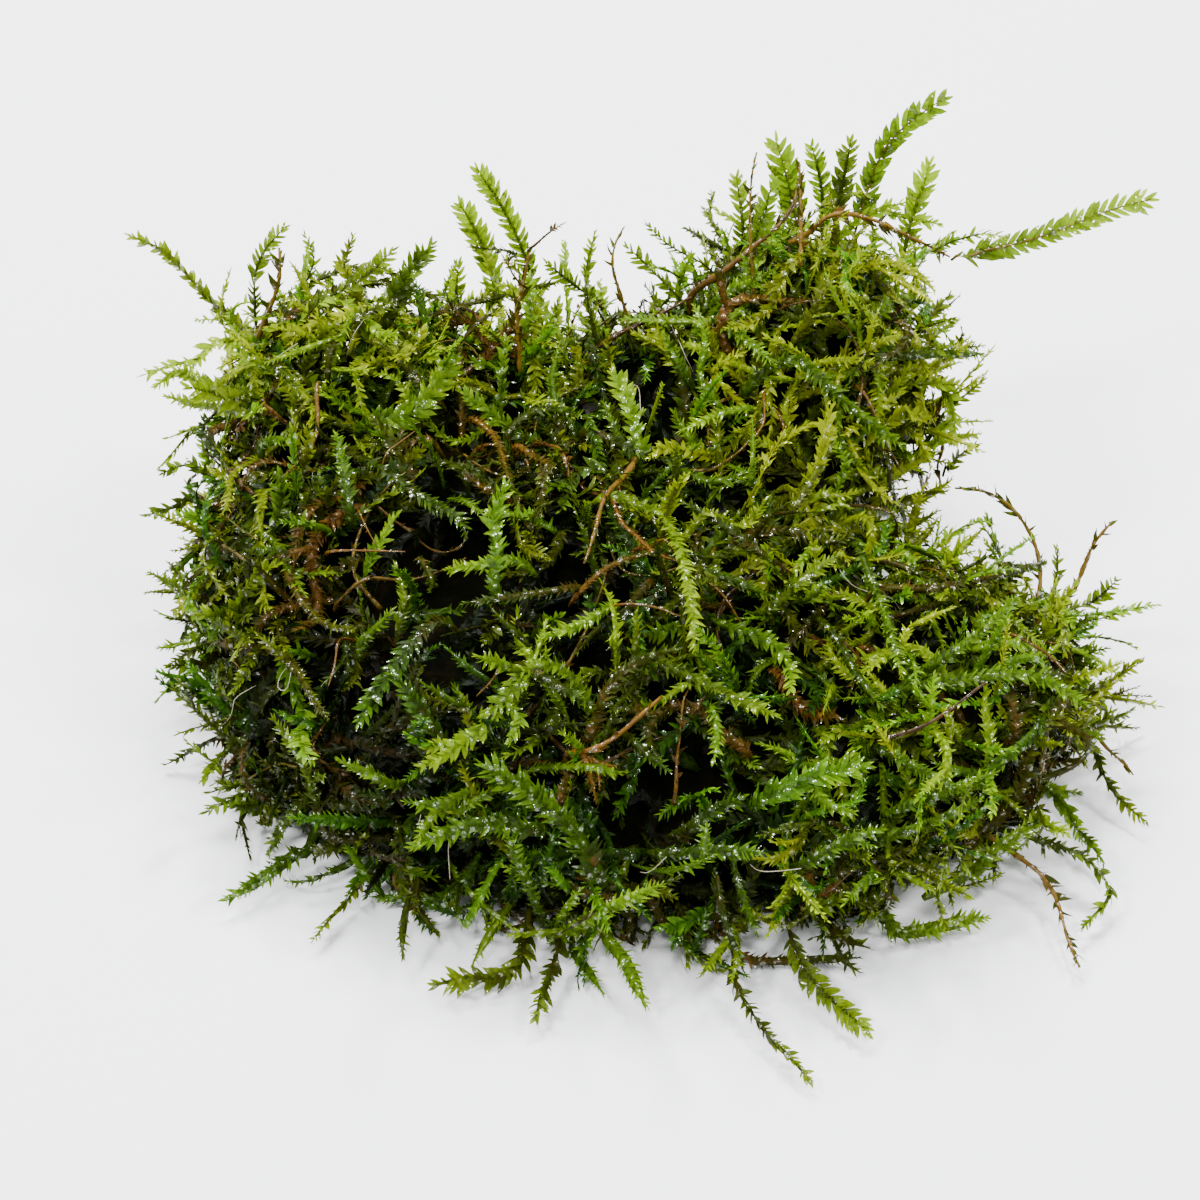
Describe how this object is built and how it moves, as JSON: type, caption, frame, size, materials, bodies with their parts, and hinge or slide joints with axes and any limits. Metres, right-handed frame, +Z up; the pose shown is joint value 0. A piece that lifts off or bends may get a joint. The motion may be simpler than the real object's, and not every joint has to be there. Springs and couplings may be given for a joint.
{
  "type": "moss clump",
  "caption": "Loose handful of wet feather-leaved moss: a tangled, flat-bottomed mat with leafy shoots and bare brown stems standing out of it all round.",
  "frame": {"origin": "on the flat underside, below the middle of the clump", "axes": "+Z up, +X to the right and +Y away from the picture's viewer"},
  "size_m": [0.1015, 0.0884, 0.0443],
  "materials": {
    "moss": "wet tangled green moss, glossy leaves over dark brown depths",
    "green_leaf": "wet mid green moss leaves, thin and half see-through",
    "dark_leaf": "wet dark olive moss leaves",
    "lime_leaf": "young yellow-green moss leaves, half see-through",
    "dead_stem": "bare wet brown stems"
  },
  "bodies": {
    "root": {"moss_mat": "moss", "frond_left_long": "green_leaf", "frond_left_loop": "green_leaf", "frond_left_curl": "green_leaf", "frond_left_arch": "green_leaf", "frond_dark_broad": "dark_leaf", "frond_back_pale": "lime_leaf", "frond_lime_short": "lime_leaf", "frond_lime_tall": "lime_leaf", "frond_cross_low": "green_leaf", "frond_middle_right": "green_leaf", "frond_middle_bow": "green_leaf", "frond_right_lime": "lime_leaf", "frond_right_broad": "green_leaf", "frond_right_pale": "lime_leaf", "frond_right_cluster": "lime_leaf", "frond_right_dark": "dark_leaf", "frond_top_right": "lime_leaf", "frond_right_upright": "lime_leaf", "frond_right_edge": "green_leaf", "frond_right_olive": "dark_leaf", "frond_end_back": "green_leaf", "frond_end_upright": "green_leaf", "frond_end_spread": "green_leaf", "frond_end_long": "green_leaf", "frond_end_side": "green_leaf", "frond_end_low": "green_leaf", "frond_arc_low": "green_leaf", "frond_front_straight": "green_leaf", "frond_front_light": "lime_leaf", "frond_front_crisp": "lime_leaf", "frond_front_right": "green_leaf", "frond_front_thin": "dark_leaf", "frond_front_bright": "lime_leaf", "frond_front_olive": "dark_leaf", "frond_front_spray": "dark_leaf", "frond_left_twig": "green_leaf", "frond_left_low": "green_leaf", "frond_left_strand": "green_leaf", "frond_left_broad": "green_leaf", "frond_left_bright": "lime_leaf", "frond_left_pair": "green_leaf", "frond_left_wing": "green_leaf", "frond_left_fan": "lime_leaf", "stem_left_loop": "dead_stem", "stem_cross": "dead_stem", "stem_middle_bare": "dead_stem", "stem_right_bare": "dead_stem", "stem_right_upright": "dead_stem", "stem_arch": "dead_stem", "stem_hanging": "dead_stem", "stem_loop_end": "dead_stem", "stem_orange": "dead_stem", "stem_end_brown": "dead_stem", "stem_low_brown": "dead_stem", "frond_long_right": "lime_leaf", "frond_arch_side": "green_leaf", "frond_cross_left": "dark_leaf", "frond_cross_right": "dark_leaf", "frond_right_spray": "green_leaf"}
  },
  "joints": []
}
